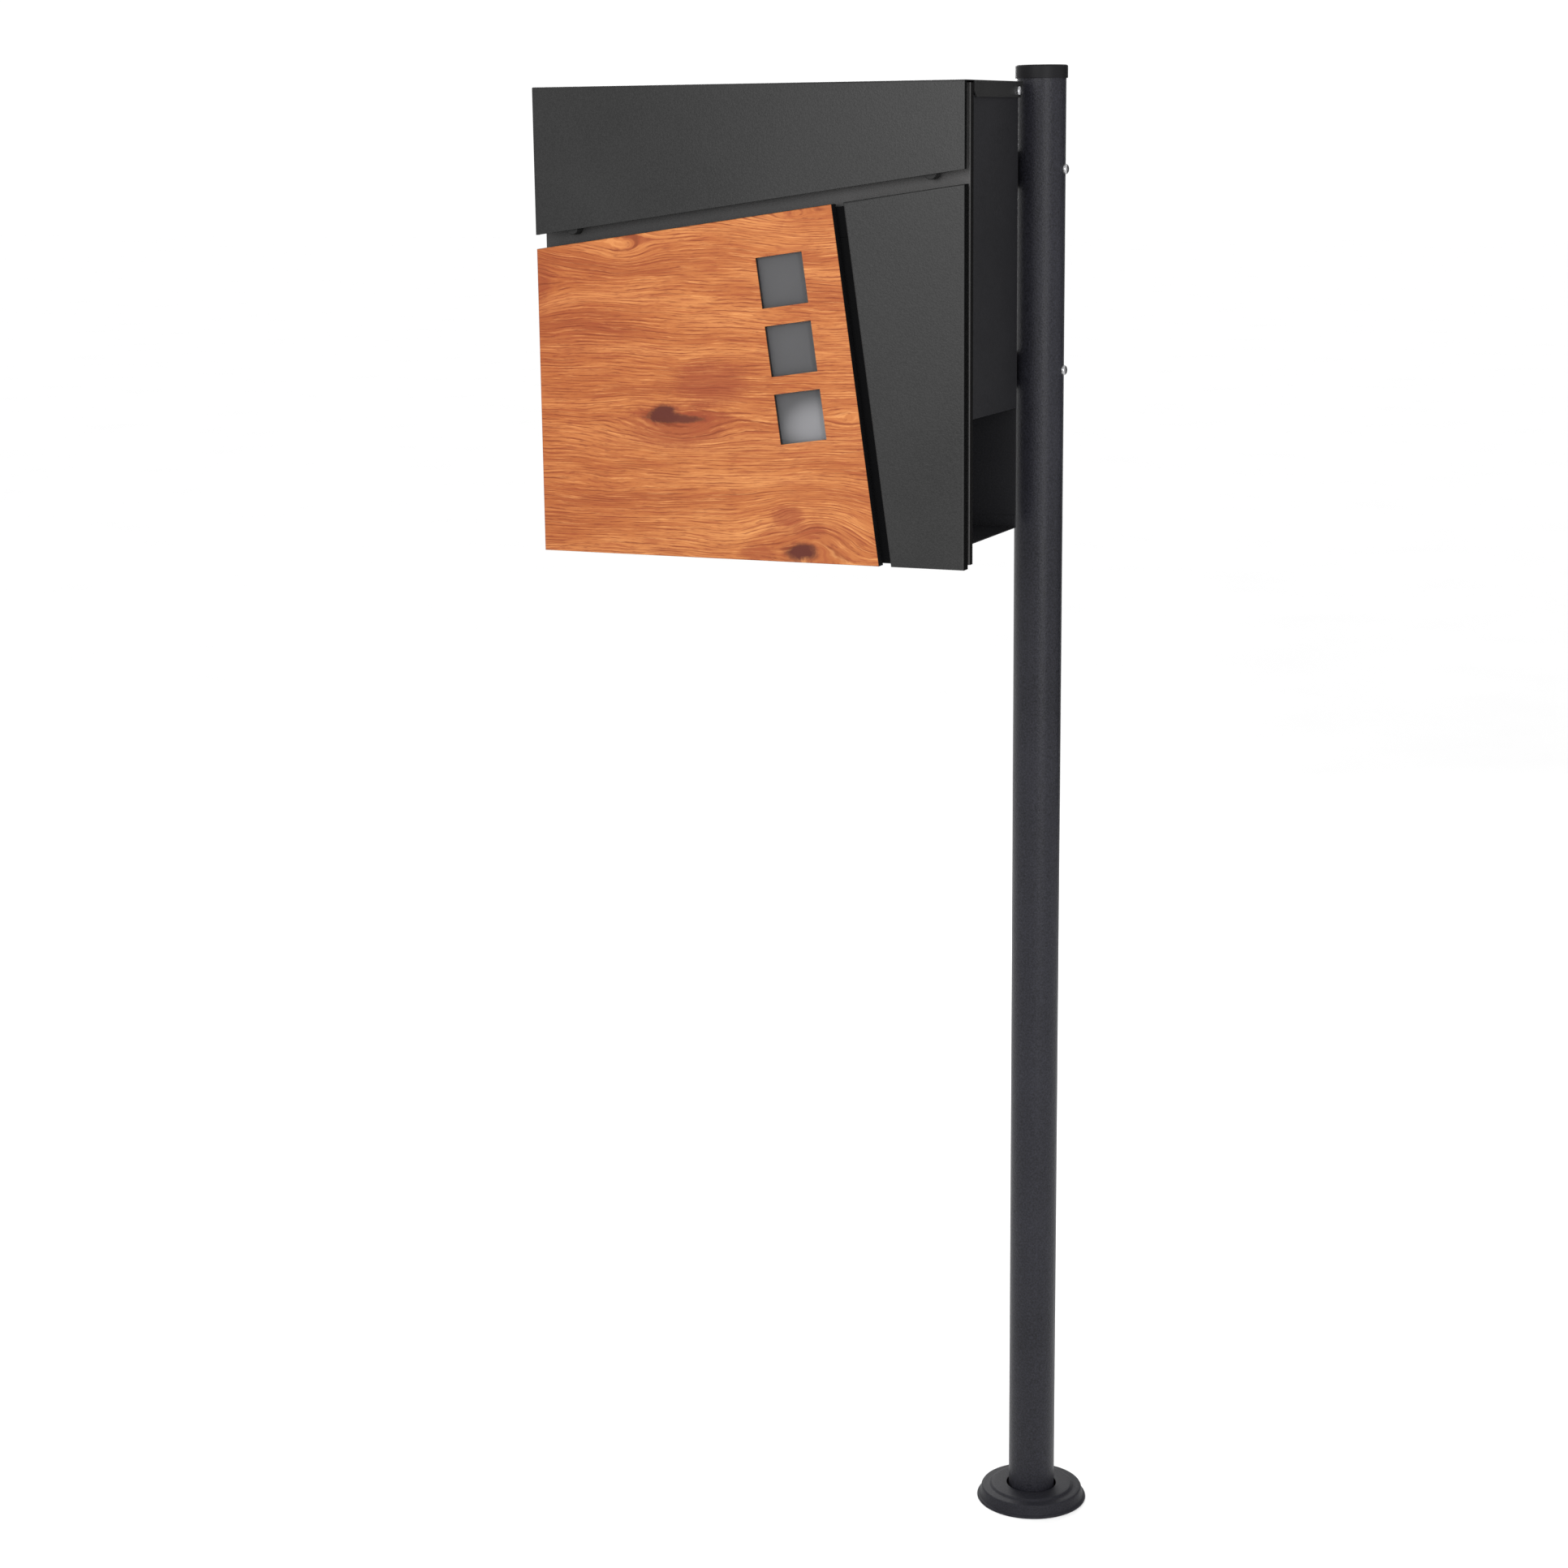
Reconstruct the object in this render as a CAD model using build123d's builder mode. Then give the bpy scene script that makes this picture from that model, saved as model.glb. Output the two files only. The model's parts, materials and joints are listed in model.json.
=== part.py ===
from build123d import *
import math
import os

# A post-mounted letterbox with a newspaper compartment.
# World frame: +X to the right of the front, +Y to the back, +Z up, origin in the middle of the
# pole's foot on the ground. Box frame: u to the right, v to the back and w up from the lower left
# corner of the front panels' faces.

# ---------------------------------------------------------------- overall sizes
box_width = 370.0
box_height = 375.0
box_depth = 130.0
pole_height = 1240.0
pole_radius = 20.0
pole_wall = 1.5
roof_drop = 13.0
wall_gap = 9.0
side_overhang = 8.0
sheet = 1.0
bend_radius = 1.5

# ---------------------------------------------------------------- front panels and flap
slant_angle = 7.8
panel_left_height = 0.658 * box_height
wood_lower_width = 298.4
panel_spacing = 10.2
flap_gap = 11.2
flap_hem = 5.0
panel_depth = 10.0

# ---------------------------------------------------------------- windows
window_size = 40.0
window_pitch = 54.0
window_count = 3
window_side_margin = 30.0
window_top_margin = 32.5
window_sight_gap = 2.0
pane_overlap = 6.0
pane_thickness = 2.0
gasket_thickness = 4.0
gasket_gap = 0.5

# ---------------------------------------------------------------- front frame and door
frame_setback = 6.0
frame_return = 6.0
frame_inset = 0.5
frame_foot = 2.4
frame_headroom = 2.0
frame_strip = 14.0
opening_sill = 24.0
opening_cover = 6.0
door_plate_inset = 1.5

# ---------------------------------------------------------------- door hinges
hinge_side = 2.6
hinge_standoff = 2.4
hinge_heights = (45.0, panel_left_height - 42.0)
hinge_length = 30.0
hinge_leaf_width = 10.0
knuckle_radius = 2.0
knuckle_gap = 0.3
hinge_pin_radius = 1.0
hinge_pin_clearance = 0.05
rivet_radius = 1.5
rivet_head_radius = 2.6
rivet_head = 0.6
rivet_spacing = 20.0

# ---------------------------------------------------------------- cabinet
wall_inset = 1.6
weld_gap = 0.1
wall_flange = 10.0
tray_height = 18.0
shelf_height = 117.0
cabinet_drop = 11.0
slot_length = 320.0
slot_width = 44.0
slot_setback = 28.0
slot_hem = 8.0
rain_guard_gap = 0.6
rain_guard_setback = 5.5

# ---------------------------------------------------------------- lid pivots
pivot_drop = 7.5
pivot_inset = 5.0
lid_overhang = 7.0
lid_flange = 12.6
lid_flange_overhang = 4.0
frame_gap = 0.6
pivot_ear_radius = 5.8
pivot_screw_radius = 1.95
bush_clearance = 0.06
bush_wall = 1.0
bush_rim_radius = 3.9

# ---------------------------------------------------------------- bumpers
bumper_radius = 5.0
bumper_inset = 30.0
bumper_rise = 1.0
bumper_stem_radius = 2.0
bumper_gap = 0.2

# ---------------------------------------------------------------- lock
lock_u = 150.0
lock_rise = 15.0
lock_body_radius = 9.0
lock_flat = 8.0
lock_rim_radius = 10.5
lock_rim = 2.5
lock_body_length = 9.0
lock_nut_size = 24.0
lock_nut_thickness = 3.0
plug_radius = 6.0
plug_clearance = 0.05
cam_length = 44.0
cam_width = 12.0
cam_thickness = 2.0
cam_drive = 7.0
keeper_width = 18.0
keeper_thickness = 1.2
keeper_drop = 26.0
keeper_foot = 18.0
keeper_gap = 0.8
keeper_tip_drop = 2.0

# ---------------------------------------------------------------- pole fittings
cap_wall = 1.1
cap_height = 10.5
cap_top = 2.0
cap_clearance = 0.1
cap_rounding = 1.6
base_radius = 40.0
base_thickness = 4.0
base_bolt_circle = 62.0
base_bolt_radius = 4.5
base_bolts = 4
spigot_height = 15.0
cover_radius = 48.0
cover_wall = 1.5
cover_bore_gap = 1.75
cover_lip = 2.0
cover_shoulder = 10.6
cover_crown = 12.7
pole_screw_heights = (1158.0, 997.0)
pole_screw_radius = 2.45
bracket_height = 30.0
bracket_sheet = 2.0
bracket_foot = 34.0
spacer_radius = 9.0
spacer_thickness = 3.0
wall_screw_spacing = 16.0

# ---------------------------------------------------------------- fasteners and fits
small_screw_radius = 1.95
small_head_radius = 3.8
small_head_height = 2.6
small_nut_size = 7.0
small_nut_thickness = 3.2
small_nut_flange = 4.6
pole_head_radius = 4.2
pole_head_height = 3.2
pole_nut_size = 8.0
pole_nut_thickness = 4.0
pole_nut_flange = 5.0
nut_flange_thickness = 0.8
thread_overrun = 1.0
screw_clearance = 0.25
thread_clearance = 0.01
snug_clearance = 0.05

# ---------------------------------------------------------------- worked-out places
box_right = -side_overhang
box_left = box_right - box_width
box_bottom = pole_height - roof_drop - box_height
face_y = -(pole_radius + wall_gap) - box_depth
slope = math.tan(math.radians(slant_angle))
door_back = panel_depth + sheet
frame_front = panel_depth + frame_setback
frame_back = frame_front + sheet
frame_right = box_width - frame_inset
frame_top = box_height - frame_headroom
wall_right = box_width - wall_inset
cabinet_top = box_height - cabinet_drop
cabinet_back = box_depth - sheet
pivot_v = box_depth - pivot_inset
pivot_w = box_height - pivot_drop
hinge_v = door_back + hinge_standoff


def panel_edge(u):
    """Height of the front panels' slanted upper edge."""
    return panel_left_height + slope * u


def flap_edge(u):
    """Height of the flap's slanted lower edge."""
    return panel_edge(u) + flap_gap


def slanted_corner(lower_u):
    """Where a side edge that leans left from the foot of the panels meets the upper edge."""
    u = (lower_u - slope * panel_left_height) / (1 + slope**2)
    return (u, panel_edge(u))


def at(u, v, w):
    """World position of a point given in the box frame."""
    return (box_left + u, face_y + v, box_bottom + w)


def front(depth):
    """Sketch plane in u and w that faces the front; a negative extrusion goes backwards."""
    return Plane(origin=at(0, depth, 0), x_dir=(1, 0, 0), z_dir=(0, -1, 0))


def level(height):
    """Sketch plane in u and v that faces up."""
    return Plane(origin=at(0, 0, height), x_dir=(1, 0, 0), z_dir=(0, 0, 1))


def side(u):
    """Sketch plane in v and w that faces right."""
    return Plane(origin=at(u, 0, 0), x_dir=(0, 1, 0), z_dir=(1, 0, 0))


def facing_front(u, v, w):
    """Seat of a fastener whose head faces the front."""
    return Plane(origin=at(u, v, w), x_dir=(1, 0, 0), z_dir=(0, -1, 0))


def facing_back(u, v, w):
    """Seat of a fastener whose head faces the back."""
    return Plane(origin=at(u, v, w), x_dir=(1, 0, 0), z_dir=(0, 1, 0))


def block(plane, low, high, thickness, mode=Mode.ADD):
    """Rectangular block between two opposite corners on a plane."""
    middle = ((low[0] + high[0]) / 2, (low[1] + high[1]) / 2)
    with BuildSketch(plane) as outline:
        with Locations(middle):
            Rectangle(high[0] - low[0], high[1] - low[1])
    extrude(outline.sketch, amount=thickness, mode=mode)


def plate(plane, corners, thickness, mode=Mode.ADD):
    """Flat plate with straight edges through the given corners."""
    with BuildSketch(plane) as outline:
        with BuildLine():
            Polyline(corners, close=True)
        make_face()
    extrude(outline.sketch, amount=thickness, mode=mode)


def drill(plane, points, radius, depth):
    """Round holes cut against the plane's normal."""
    with BuildSketch(plane) as outline:
        with Locations(points):
            Circle(radius)
    extrude(outline.sketch, amount=-depth, mode=Mode.SUBTRACT)


def pan_screw(shank_radius, length, head_radius, head_height):
    """Pan-head screw with a cross recess: head above the XY plane, shank below it."""
    recess_width = head_radius * 0.26
    with BuildPart(mode=Mode.PRIVATE) as screw:
        with BuildSketch(Plane.XZ):
            with BuildLine():
                Polyline(
                    (0, head_height),
                    (0, -length),
                    (shank_radius, -length),
                    (shank_radius, 0),
                    (head_radius, 0),
                    (head_radius, head_height * 0.4),
                )
                ThreePointArc(
                    (head_radius, head_height * 0.4),
                    (head_radius * 0.84, head_height * 0.76),
                    (head_radius * 0.45, head_height),
                )
                Line((head_radius * 0.45, head_height), (0, head_height))
            make_face()
        revolve(axis=Axis.Z)
        with BuildSketch(Plane.XY.offset(head_height)):
            Rectangle(head_radius * 1.1, recess_width)
            Rectangle(recess_width, head_radius * 1.1)
        extrude(amount=-head_height * 0.55, mode=Mode.SUBTRACT)
    return screw.part


def rivet(grip):
    """Rivet through a stack as thick as its grip: one head above XY, the other below the stack."""
    with BuildPart(mode=Mode.PRIVATE) as body:
        with BuildSketch(Plane.XY.offset(-grip)):
            Circle(rivet_radius)
        extrude(amount=grip)
        with BuildSketch(Plane.XY):
            Circle(rivet_head_radius)
        extrude(amount=rivet_head)
        fillet(body.edges().group_by(Axis.Z)[-1], rivet_head * 0.6)
        with BuildSketch(Plane.XY.offset(-grip - rivet_head)):
            Circle(rivet_head_radius)
        extrude(amount=rivet_head)
        fillet(body.edges().group_by(Axis.Z)[0], rivet_head * 0.6)
    return body.part


def hex_nut(across_flats, thickness, bore_radius, flange_radius=0.0):
    """Hexagon nut standing on the XY plane, with a flange where one is asked for."""
    with BuildPart(mode=Mode.PRIVATE) as nut:
        with BuildSketch(Plane.XY):
            RegularPolygon(across_flats / math.sqrt(3), 6)
        extrude(amount=thickness)
        if flange_radius:
            with BuildSketch(Plane.XY):
                Circle(flange_radius)
            extrude(amount=nut_flange_thickness)
        with BuildSketch(Plane.XY):
            Circle(bore_radius)
        extrude(amount=thickness, mode=Mode.SUBTRACT)
    return nut.part


finished = []


def finish(label, shape):
    """Names a finished piece and keeps it for export."""
    shape.label = label
    finished.append(shape)


# ================================================================ pole and foot
screw_levels = [(0, height) for height in pole_screw_heights]

with BuildPart() as pole:
    with BuildSketch(Plane.XY.offset(base_thickness)):
        Circle(pole_radius)
        Circle(pole_radius - pole_wall, mode=Mode.SUBTRACT)
    extrude(amount=pole_height - cap_top - base_thickness)
    drill(Plane.YZ.offset(pole_radius), screw_levels, pole_screw_radius + screw_clearance, 2 * pole_radius)
finish("pole", pole.part)

with BuildPart() as pole_cap:
    with BuildSketch(Plane.XY.offset(pole_height - cap_height)):
        Circle(pole_radius + cap_clearance + cap_wall)
    extrude(amount=cap_height)
    fillet(pole_cap.edges().group_by(Axis.Z)[-1], cap_rounding)
    chamfer(pole_cap.edges().group_by(Axis.Z)[0], cap_rounding / 4)
    with BuildSketch(Plane.XY.offset(pole_height - cap_height)):
        Circle(pole_radius + cap_clearance)
    extrude(amount=cap_height - cap_top, mode=Mode.SUBTRACT)
finish("pole_cap", pole_cap.part)

with BuildPart() as base_flange:
    with BuildSketch(Plane.XY):
        Circle(base_radius)
        with PolarLocations(base_bolt_circle / 2, base_bolts, start_angle=45):
            Circle(base_bolt_radius, mode=Mode.SUBTRACT)
    extrude(amount=base_thickness)
    with BuildSketch(Plane.XY.offset(base_thickness)):
        Circle(pole_radius - pole_wall - cap_clearance)
        Circle(pole_radius - 3 * pole_wall, mode=Mode.SUBTRACT)
    extrude(amount=spigot_height)
finish("base_flange", base_flange.part)


def base_cover_profile():
    """Half section of the pressed cover that hides the foot: radius and height of each corner."""
    shoulder_radius = cover_radius - 4.6
    crown_radius = cover_radius - 12.6
    bore_radius = pole_radius + cover_bore_gap
    outer = [
        (cover_radius, 0.0),
        (cover_radius, cover_lip - 0.8),
        (cover_radius - 0.7, cover_lip),
        (cover_radius - 1.9, cover_lip + 0.3),
        (cover_radius - 2.6, cover_lip + 1.4),
        (shoulder_radius + 0.8, cover_shoulder - 1.4),
        (shoulder_radius + 0.3, cover_shoulder - 0.5),
        (shoulder_radius - 0.6, cover_shoulder),
        (crown_radius + 2.2, cover_shoulder + 0.2),
        (crown_radius + 1.0, cover_shoulder + 0.8),
        (crown_radius, cover_crown - 0.3),
        (crown_radius - 1.2, cover_crown),
        (bore_radius, cover_crown + 0.2),
    ]
    inner = [
        (bore_radius, cover_crown + 0.2 - cover_wall),
        (crown_radius - 1.6, cover_crown - cover_wall),
        (crown_radius - 0.6, cover_shoulder + 0.2 - 0.7 * cover_wall),
        (crown_radius + 0.9, cover_shoulder + 0.2 - cover_wall),
        (shoulder_radius - 1.3, cover_shoulder - cover_wall),
        (shoulder_radius + 0.8 - cover_wall, cover_shoulder - 1.2 * cover_wall),
        (cover_radius - 2.8 - cover_wall, 0.8),
        (cover_radius - 2.4 - cover_wall, 0.0),
    ]
    return outer + inner


with BuildPart() as base_cover:
    with BuildSketch(Plane.XZ):
        with BuildLine():
            Polyline(base_cover_profile(), close=True)
        make_face()
    revolve(axis=Axis.Z)
finish("base_cover", base_cover.part)

# ================================================================ fixing of the box to the pole
bracket_face = -(pole_radius + spacer_thickness)
bracket_outer = bracket_face - bracket_sheet
wall_y = face_y + box_depth
wall_screw_x = bracket_outer - bracket_foot / 2
wall_screw_u = wall_screw_x - box_left

with BuildPart() as mounting_brackets:
    for height in pole_screw_heights:
        block(
            Plane(origin=(bracket_outer, 0, height), x_dir=(0, 1, 0), z_dir=(1, 0, 0)),
            (wall_y, -bracket_height / 2),
            (pole_radius / 2, bracket_height / 2),
            bracket_sheet,
        )
        block(
            Plane(origin=(0, wall_y, height), x_dir=(1, 0, 0), z_dir=(0, -1, 0)),
            (bracket_outer - bracket_foot + bracket_sheet, -bracket_height / 2),
            (bracket_face, bracket_height / 2),
            -bracket_sheet,
        )
    bends = mounting_brackets.edges().filter_by(Axis.Z).group_by(Axis.Y)[0]
    fillet(bends.sort_by(Axis.X)[-2:], bend_radius)
    arm_ends = mounting_brackets.edges().filter_by(Axis.X).group_by(Axis.Y)[-1]
    fillet(arm_ends, bracket_height * 0.3)
    drill(Plane.YZ, screw_levels, pole_screw_radius + screw_clearance, 2 * pole_radius)
    bolt_rows = [(wall_screw_x, h + s * wall_screw_spacing / 2) for h in pole_screw_heights for s in (-1, 1)]
    drill(Plane.XZ.offset(-wall_y), bolt_rows, small_screw_radius + screw_clearance, bracket_sheet)
finish("mounting_brackets", mounting_brackets.part)

with BuildPart() as pole_spacers:
    with BuildSketch(Plane.YZ.offset(bracket_face)):
        with Locations(screw_levels):
            Circle(spacer_radius)
            Circle(pole_screw_radius + screw_clearance, mode=Mode.SUBTRACT)
    extrude(amount=spacer_thickness + pole_radius / 3)
    with BuildSketch(Plane.XY):
        Circle(pole_radius + snug_clearance)
    extrude(amount=pole_height, mode=Mode.SUBTRACT)
finish("pole_spacers", pole_spacers.part)

with BuildPart() as pole_screws:
    reach = pole_radius - bracket_outer + pole_nut_thickness + 2 * thread_overrun
    with Locations(*[Plane(origin=(pole_radius, 0, h), z_dir=(1, 0, 0)) for h in pole_screw_heights]):
        add(pan_screw(pole_screw_radius, reach, pole_head_radius, pole_head_height))
finish("pole_screws", pole_screws.part)

with BuildPart() as pole_nuts:
    with Locations(*[Plane(origin=(bracket_outer, 0, h), z_dir=(-1, 0, 0)) for h in pole_screw_heights]):
        bore = pole_screw_radius + thread_clearance
        add(hex_nut(pole_nut_size, pole_nut_thickness, bore, pole_nut_flange))
finish("pole_nuts", pole_nuts.part)

wall_screw_heights = [h + s * wall_screw_spacing / 2 for h in pole_screw_heights for s in (-1, 1)]
wall_screw_seats = [facing_front(wall_screw_u, cabinet_back, h - box_bottom) for h in wall_screw_heights]
wall_nut_seats = [
    facing_back(wall_screw_u, box_depth + bracket_sheet, h - box_bottom) for h in wall_screw_heights
]

with BuildPart() as wall_screws:
    reach = sheet + bracket_sheet + small_nut_thickness + thread_overrun
    with Locations(*wall_screw_seats):
        add(pan_screw(small_screw_radius, reach, small_head_radius, small_head_height))
finish("wall_screws", wall_screws.part)

with BuildPart() as wall_nuts:
    with Locations(*wall_nut_seats):
        bore = small_screw_radius + thread_clearance
        add(hex_nut(small_nut_size, small_nut_thickness, bore, small_nut_flange))
finish("wall_nuts", wall_nuts.part)

# ================================================================ cabinet
with BuildPart() as back_panel:
    block(front(cabinet_back), (wall_inset, tray_height), (wall_right, cabinet_top), -sheet)
    wall_holes = [(wall_screw_u, h - box_bottom) for h in wall_screw_heights]
    drill(front(cabinet_back), wall_holes, small_screw_radius + screw_clearance, sheet)
finish("back_panel", back_panel.part)


def side_wall(outer_u, inward):
    """Side wall with a rear and a lower flange turned inwards, and an ear for the lid's pivot."""
    flange_end = outer_u + inward * wall_flange
    low_u, high_u = min(outer_u, flange_end), max(outer_u, flange_end)
    shelf_underside = shelf_height - sheet
    with BuildPart() as wall:
        web = side(outer_u)
        block(web, (frame_back, shelf_underside), (cabinet_back, cabinet_top), inward * sheet)
        with BuildSketch(web) as ear:
            with Locations((pivot_v, pivot_w)):
                Circle(pivot_ear_radius)
            with Locations((pivot_v, pivot_w - pivot_ear_radius)):
                Rectangle(2 * pivot_ear_radius, 2 * pivot_ear_radius)
            with Locations((cabinet_back - box_depth / 2, pivot_w)):
                Rectangle(box_depth, 6 * pivot_ear_radius, mode=Mode.INTERSECT)
        extrude(ear.sketch, amount=inward * sheet)
        rear_low = (low_u, shelf_height + sheet)
        block(front(cabinet_back), rear_low, (high_u, cabinet_top - wall_flange - 2 * sheet), sheet)
        shelf_ledge = level(shelf_underside)
        block(shelf_ledge, (low_u, frame_back + sheet), (high_u, cabinet_back - sheet), sheet)
        with BuildSketch(side(box_width / 2)) as bore:
            with Locations((pivot_v, pivot_w)):
                Circle(pivot_screw_radius + screw_clearance)
        extrude(bore.sketch, amount=box_width, both=True, mode=Mode.SUBTRACT)
    return wall.part


finish("side_wall_left", side_wall(wall_inset, 1))
finish("side_wall_right", side_wall(wall_right, -1))

inner_left = wall_inset + sheet + weld_gap
inner_right = box_width - inner_left
top_front = frame_back + weld_gap
top_back = cabinet_back - weld_gap
slot_left = (box_width - slot_length) / 2

with BuildPart() as top_plate:
    block(level(cabinet_top - sheet), (inner_left, top_front), (inner_right, top_back), sheet)
    skirt = level(cabinet_top - sheet - wall_flange)
    block(skirt, (inner_left, top_front), (inner_right, top_back), wall_flange)
    block(
        skirt,
        (inner_left + sheet, top_front + sheet),
        (inner_right - sheet, top_back - sheet),
        wall_flange,
        Mode.SUBTRACT,
    )
    slot_low = (slot_left, slot_setback)
    slot_high = (slot_left + slot_length, slot_setback + slot_width)
    guard_top = box_height - sheet - rain_guard_gap
    guard = front(pivot_v - rain_guard_setback)
    block(guard, (inner_left, cabinet_top - sheet), (inner_right, guard_top), sheet)
    rim = level(cabinet_top - sheet - slot_hem)
    rim_low = (slot_low[0] - sheet, slot_low[1] - sheet)
    rim_high = (slot_high[0] + sheet, slot_high[1] + sheet)
    block(rim, rim_low, rim_high, slot_hem)
    block(rim, slot_low, slot_high, slot_hem + sheet, Mode.SUBTRACT)
finish("top_plate", top_plate.part)

with BuildPart() as letter_shelf:
    shelf_front = frame_back + 1.2 * sheet
    shelf_back = cabinet_back - 1.2 * sheet
    block(level(shelf_height), (inner_left, shelf_front), (inner_right, shelf_back), sheet)
    lip_low = (inner_left + wall_flange, shelf_height - wall_flange)
    block(front(shelf_front), lip_low, (inner_right - wall_flange, shelf_height), -sheet)
    upstand_low = (inner_left + wall_flange, shelf_height)
    upstand_high = (inner_right - wall_flange, shelf_height + wall_flange)
    block(front(shelf_back), upstand_low, upstand_high, sheet)
finish("letter_shelf", letter_shelf.part)

with BuildPart() as newspaper_tray:
    block(level(tray_height), (wall_inset, frame_back), (wall_right, cabinet_back), sheet)
    block(front(frame_back), (frame_strip, tray_height), (box_width - frame_strip, opening_sill), -sheet)
    block(front(cabinet_back), (wall_inset, tray_height), (wall_right, tray_height + wall_flange), sheet)
finish("newspaper_tray", newspaper_tray.part)

# ================================================================ front frame
bumper_us = (bumper_inset, box_width - bumper_inset)
bumper_places = [(u, flap_edge(u) + bumper_rise) for u in bumper_us]
lock_w = flap_edge(lock_u) + lock_rise
hinge_rivet_u = hinge_side + 0.62 * hinge_leaf_width
hinge_rivet_places = [
    (hinge_rivet_u, w + s * rivet_spacing / 2) for w in hinge_heights for s in (-1, 1)
]


def opening_edge(u):
    """Height of the door opening's slanted upper edge."""
    return panel_edge(u) - opening_cover


def lock_outline(clearance):
    """Round lock body with two flats, added to the sketch being drawn."""
    with Locations((lock_u, lock_w)):
        Circle(lock_body_radius + clearance)
        Rectangle(
            2 * (lock_flat + clearance), 3 * lock_body_radius, mode=Mode.INTERSECT
        )


with BuildPart() as front_frame:
    block(front(frame_front), (frame_inset, frame_foot), (frame_right, frame_top), -frame_return)
    fillet(front_frame.edges().filter_by(Axis.Z).group_by(Axis.Y)[0], bend_radius)
    block(
        front(frame_back),
        (frame_inset + sheet, frame_foot + sheet),
        (frame_right - sheet, frame_top),
        -frame_return,
        Mode.SUBTRACT,
    )
    opening = [
        (frame_strip, opening_sill),
        (box_width - frame_strip, opening_sill),
        (box_width - frame_strip, opening_edge(box_width - frame_strip)),
        (frame_strip, opening_edge(frame_strip)),
    ]
    plate(front(frame_front), opening, -frame_return, Mode.SUBTRACT)
    with BuildSketch(front(frame_front)) as lock_hole:
        lock_outline(screw_clearance)
    extrude(lock_hole.sketch, amount=-sheet, mode=Mode.SUBTRACT)
    drill(front(frame_front), bumper_places, bumper_stem_radius, sheet)
    drill(front(frame_front), hinge_rivet_places, rivet_radius, sheet)
finish("front_frame", front_frame.part)

with BuildPart() as bumpers:
    bumper_length = frame_front - flap_hem - bumper_gap
    with BuildSketch(front(frame_front)):
        with Locations(bumper_places):
            Circle(bumper_radius)
    extrude(amount=bumper_length)
    fillet(bumpers.edges().group_by(Axis.Y)[0], 1.2)
    with BuildSketch(front(frame_front)):
        with Locations(bumper_places):
            Circle(bumper_stem_radius)
    extrude(amount=-sheet)
    with BuildSketch(front(frame_back)):
        with Locations(bumper_places):
            Circle(1.6 * bumper_stem_radius)
    extrude(amount=-2.0)
finish("bumpers", bumpers.part)

# ================================================================ door
wood_corner = slanted_corner(wood_lower_width)
side_corner = slanted_corner(wood_lower_width + panel_spacing)
wood_outline = [(0, 0), (wood_lower_width, 0), wood_corner, (0, panel_left_height)]
side_outline = [
    (wood_lower_width + panel_spacing, 0),
    (box_width, 0),
    (box_width, panel_edge(box_width)),
    side_corner,
]
stud_places = [
    (30.0, 40.0),
    (wood_lower_width - 30.0, 40.0),
    (30.0, panel_left_height - 30.0),
    (lock_u + 20.0, panel_edge(lock_u) - 45.0),
    (box_width - 36.0, 45.0),
    (side_corner[0] + 27.0, side_corner[1] - 28.0),
    (box_width - 24.0, panel_edge(box_width) - 36.0),
]
stud_length = 13.5


def window_column(depth):
    """Plane at the wood panel's upper right corner, turned to the panel's slant."""
    lean = math.radians(slant_angle)
    corner = at(wood_corner[0], depth, wood_corner[1])
    return Plane(origin=corner, x_dir=(math.cos(lean), 0, math.sin(lean)), z_dir=(0, -1, 0))


window_x = -(window_side_margin + window_size / 2)
window_first_y = -(window_top_margin + window_size / 2)
window_places = [(window_x, window_first_y - n * window_pitch) for n in range(window_count)]
window_middle = (window_x, window_first_y - (window_count - 1) * window_pitch / 2)
pane_width = window_size + 2 * pane_overlap
pane_height = window_size + (window_count - 1) * window_pitch + 2 * pane_overlap


def cut_windows(depth, size, thickness):
    """Square windows cut backwards from a depth."""
    with BuildSketch(window_column(depth)) as squares:
        with Locations(window_places):
            Rectangle(size, size)
    extrude(squares.sketch, amount=-thickness, mode=Mode.SUBTRACT)


def pan(outline):
    """Folded sheet pan: a face with a return on every edge, open to the back."""
    with BuildPart(mode=Mode.PRIVATE) as folded:
        plate(front(0), outline, -panel_depth)
        fillet(folded.edges().group_by(Axis.Y)[0], bend_radius)
        offset(amount=-sheet, openings=folded.faces().sort_by(Axis.Y)[-1])
    return folded.part


with BuildPart() as wood_panel:
    add(pan(wood_outline))
    cut_windows(0, window_size, 2 * sheet)
finish("wood_panel", wood_panel.part)

with BuildPart() as side_panel:
    add(pan(side_outline))
finish("side_panel", side_panel.part)

with BuildPart() as window_gasket:
    with BuildSketch(window_column(sheet)):
        with Locations(window_middle):
            Rectangle(pane_width, pane_height)
    extrude(amount=-gasket_thickness)
    cut_windows(sheet, window_size + 2 * gasket_gap, gasket_thickness)
finish("window_gasket", window_gasket.part)

with BuildPart() as window_pane:
    with BuildSketch(window_column(sheet + gasket_thickness)):
        with Locations(window_middle):
            Rectangle(pane_width, pane_height)
    extrude(amount=-pane_thickness)
finish("window_pane", window_pane.part)

door_rivet_places = [(hinge_side + 1.3 * hinge_leaf_width, w) for _, w in hinge_rivet_places]
keeper_foot_w = panel_edge(lock_u) - keeper_drop
keeper_rivet_places = [(lock_u + s * keeper_width / 4, keeper_foot_w - keeper_foot / 2) for s in (-1, 1)]

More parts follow.
